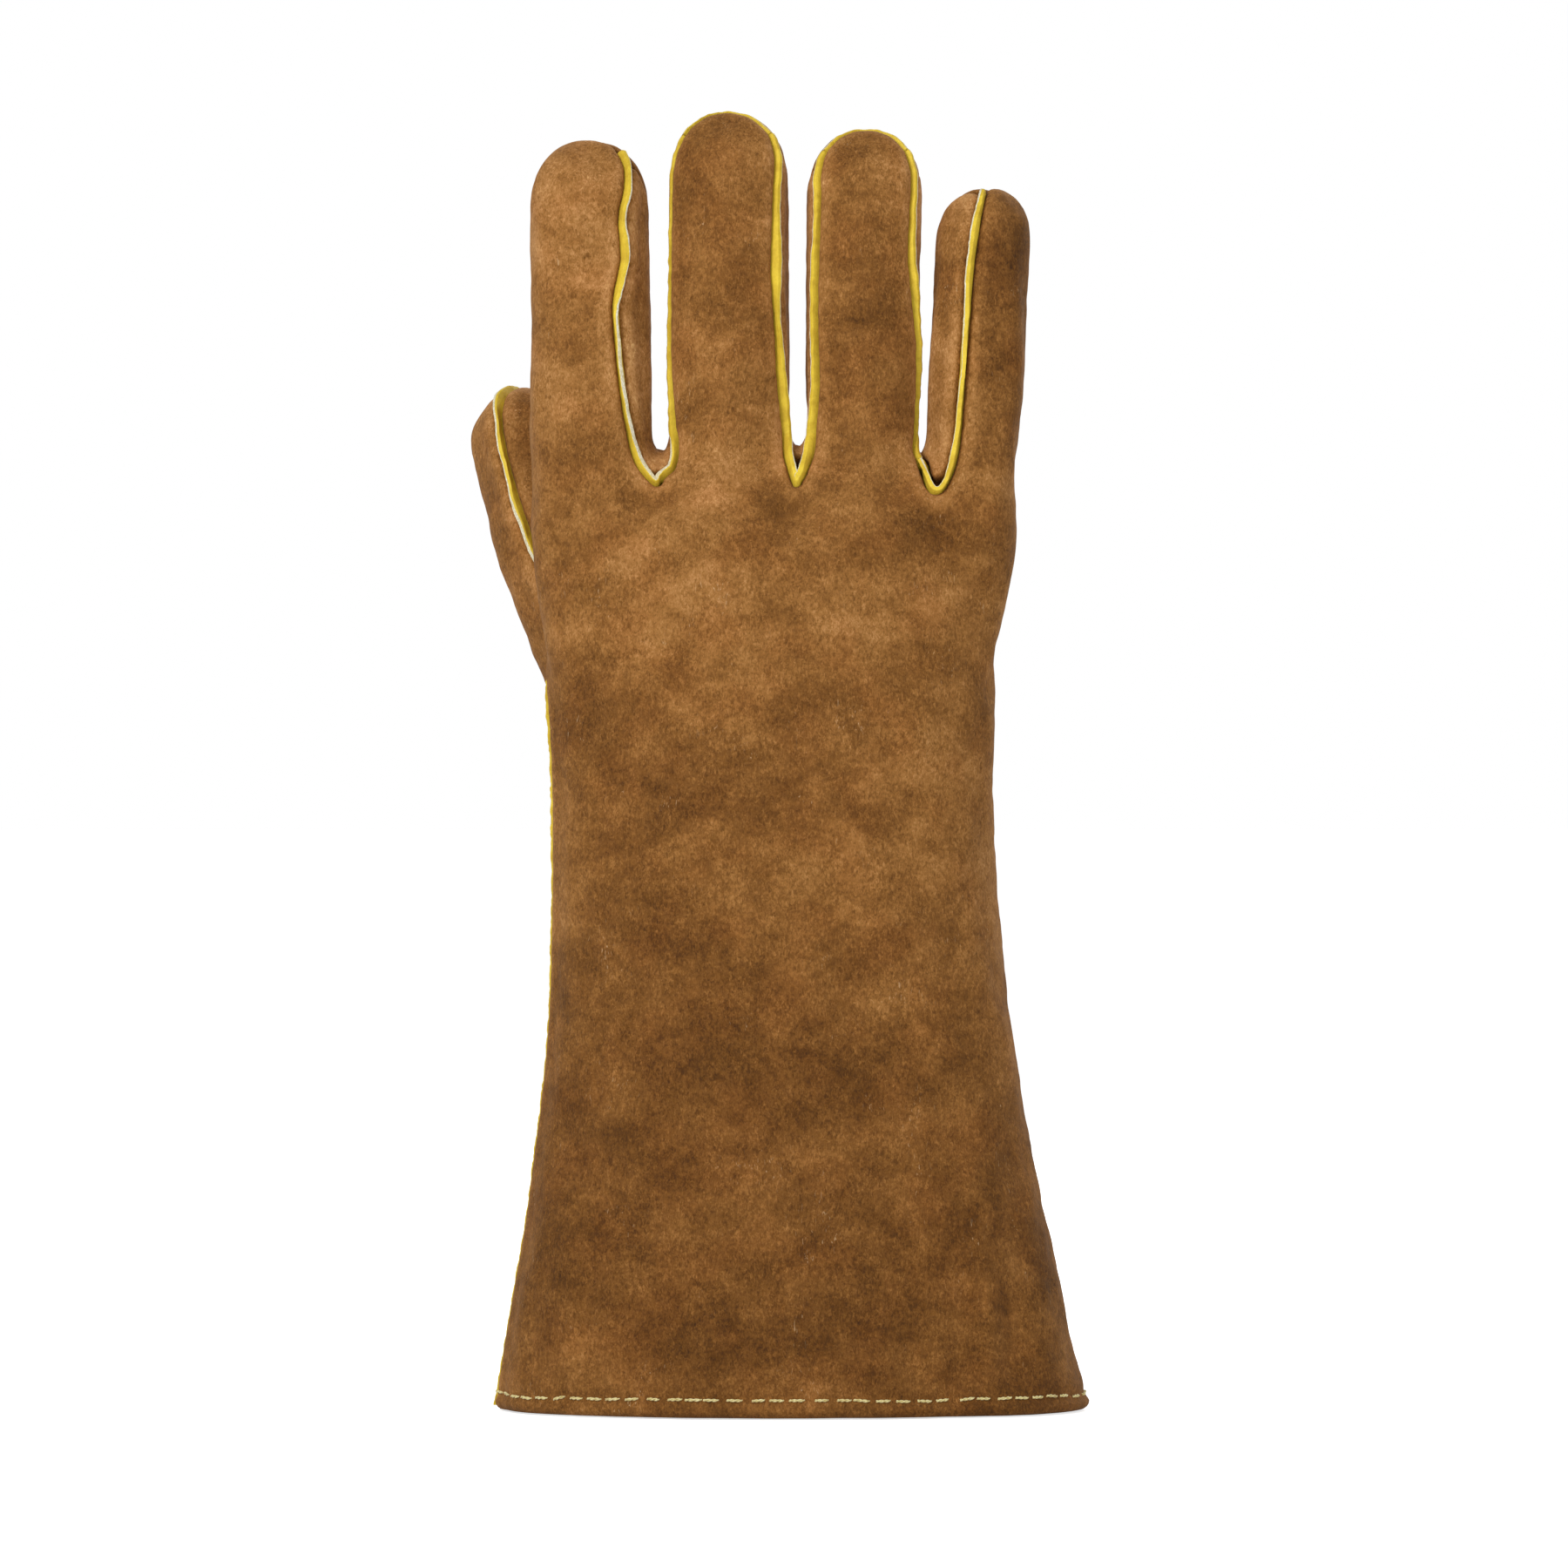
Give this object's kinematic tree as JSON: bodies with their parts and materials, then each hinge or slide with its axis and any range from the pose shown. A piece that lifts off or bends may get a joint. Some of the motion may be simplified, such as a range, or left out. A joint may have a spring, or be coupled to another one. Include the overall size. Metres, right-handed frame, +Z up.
{
  "type": "welding glove",
  "caption": "Gauntlet welding glove in split cowhide with four fingers, a set-on thumb, welted seams and a flared, hemmed cuff.",
  "frame": {"origin": "centre of the foot of the bounding box, on the plane the cuff's hem stands on", "axes": "+Z up from the cuff to the fingertips, -Y out of the back of the hand, +Y out of the palm, -X towards the thumb"},
  "size_m": [0.1702, 0.1094, 0.3572],
  "materials": {
    "back_leather": "split suede, brown, napped, dry",
    "palm_leather": "split suede, brown, napped, dry",
    "fourchette_leather": "split suede, dark brown, napped",
    "welt_leather": "smooth yellow split leather with a raw cream edge",
    "lining_cloth": "unbleached cotton, brushed",
    "thread": "waxed pale yellow heat-resistant thread"
  },
  "bodies": {
    "cuff": {"cuff_back_leather": "back_leather", "cuff_palm_leather": "palm_leather", "cuff_lining": "lining_cloth", "cuff_thumb_side_welt": "welt_leather", "cuff_hem_fold": "palm_leather", "cuff_hem_thread": "thread"},
    "hand": {"hand_back_leather": "back_leather", "hand_palm_leather": "palm_leather", "hand_lining": "lining_cloth", "hand_thumb_side_welt": "welt_leather"},
    "index_base": {"index_base_back_leather": "back_leather", "index_base_palm_leather": "palm_leather", "index_base_right_fourchette": "fourchette_leather", "index_base_right_welt": "welt_leather", "index_lining": "lining_cloth"},
    "index_tip": {"index_tip_back_leather": "back_leather", "index_tip_palm_leather": "palm_leather", "index_tip_right_fourchette": "fourchette_leather", "index_tip_welt": "welt_leather"},
    "middle_base": {"middle_base_back_leather": "back_leather", "middle_base_palm_leather": "palm_leather", "middle_base_right_fourchette": "fourchette_leather", "middle_base_left_fourchette": "fourchette_leather", "middle_base_right_welt": "welt_leather", "middle_base_left_welt": "welt_leather", "middle_lining": "lining_cloth"},
    "middle_tip": {"middle_tip_back_leather": "back_leather", "middle_tip_palm_leather": "palm_leather", "middle_tip_right_fourchette": "fourchette_leather", "middle_tip_left_fourchette": "fourchette_leather", "middle_tip_welt": "welt_leather"},
    "ring_base": {"ring_base_back_leather": "back_leather", "ring_base_palm_leather": "palm_leather", "ring_base_right_fourchette": "fourchette_leather", "ring_base_left_fourchette": "fourchette_leather", "ring_base_right_welt": "welt_leather", "ring_base_left_welt": "welt_leather", "ring_lining": "lining_cloth"},
    "ring_tip": {"ring_tip_back_leather": "back_leather", "ring_tip_palm_leather": "palm_leather", "ring_tip_right_fourchette": "fourchette_leather", "ring_tip_left_fourchette": "fourchette_leather", "ring_tip_welt": "welt_leather"},
    "little_base": {"little_base_back_leather": "back_leather", "little_base_palm_leather": "palm_leather", "little_base_left_fourchette": "fourchette_leather", "little_base_left_welt": "welt_leather", "little_lining": "lining_cloth"},
    "little_tip": {"little_tip_back_leather": "back_leather", "little_tip_palm_leather": "palm_leather", "little_tip_left_fourchette": "fourchette_leather", "little_tip_welt": "welt_leather"},
    "thumb_base": {"thumb_base_outer_leather": "back_leather", "thumb_base_inner_leather": "fourchette_leather", "thumb_base_welt": "welt_leather", "thumb_lining": "lining_cloth"},
    "thumb_tip": {"thumb_tip_outer_leather": "back_leather", "thumb_tip_inner_leather": "fourchette_leather", "thumb_tip_welt": "welt_leather"}
  },
  "joints": [
    {"name": "wrist_bend", "type": "hinge", "parent": "cuff", "child": "hand", "pos_m": [0.00194, -0.01075, 0.155], "axis": [-1, 0, 0], "range_deg": [-25, 30], "stiffness_Nm_per_rad": 0.8},
    {"name": "index_knuckle_bend", "type": "hinge", "parent": "hand", "child": "index_base", "pos_m": [-0.05286, -0.01075, 0.277], "axis": [-1, 0, 0], "range_deg": [-5, 60], "stiffness_Nm_per_rad": 0.08},
    {"name": "index_middle_bend", "type": "hinge", "parent": "index_base", "child": "index_tip", "pos_m": [-0.05286, -0.00875, 0.311], "axis": [-1, 0, 0], "range_deg": [-5, 80], "stiffness_Nm_per_rad": 0.05},
    {"name": "middle_knuckle_bend", "type": "hinge", "parent": "hand", "child": "middle_base", "pos_m": [-0.01526, -0.01075, 0.277], "axis": [-1, 0, 0], "range_deg": [-5, 75], "stiffness_Nm_per_rad": 0.08},
    {"name": "middle_middle_bend", "type": "hinge", "parent": "middle_base", "child": "middle_tip", "pos_m": [-0.01526, -0.00875, 0.315], "axis": [-1, 0, 0], "range_deg": [-5, 80], "stiffness_Nm_per_rad": 0.05},
    {"name": "ring_knuckle_bend", "type": "hinge", "parent": "hand", "child": "ring_base", "pos_m": [0.02074, -0.01075, 0.277], "axis": [-1, 0, 0], "range_deg": [-5, 75], "stiffness_Nm_per_rad": 0.08},
    {"name": "ring_middle_bend", "type": "hinge", "parent": "ring_base", "child": "ring_tip", "pos_m": [0.02074, -0.00875, 0.313], "axis": [-1, 0, 0], "range_deg": [-5, 80], "stiffness_Nm_per_rad": 0.05},
    {"name": "little_knuckle_bend", "type": "hinge", "parent": "hand", "child": "little_base", "pos_m": [0.05184, -0.01075, 0.275], "axis": [-1, 0, 0], "range_deg": [-5, 75], "stiffness_Nm_per_rad": 0.08},
    {"name": "little_middle_bend", "type": "hinge", "parent": "little_base", "child": "little_tip", "pos_m": [0.05184, -0.00875, 0.304], "axis": [-1, 0, 0], "range_deg": [-5, 80], "stiffness_Nm_per_rad": 0.05},
    {"name": "thumb_spread", "type": "hinge", "parent": "hand", "child": "thumb_base", "pos_m": [-0.04206, 0.01325, 0.192], "axis": [0, -1, 0], "range_deg": [-20, 35], "stiffness_Nm_per_rad": 0.1},
    {"name": "thumb_middle_bend", "type": "hinge", "parent": "thumb_base", "child": "thumb_tip", "pos_m": [-0.06234, 0.02883, 0.23597], "axis": [0, -0.9353, 0.3537], "range_deg": [-55, 8], "stiffness_Nm_per_rad": 0.05}
  ]
}
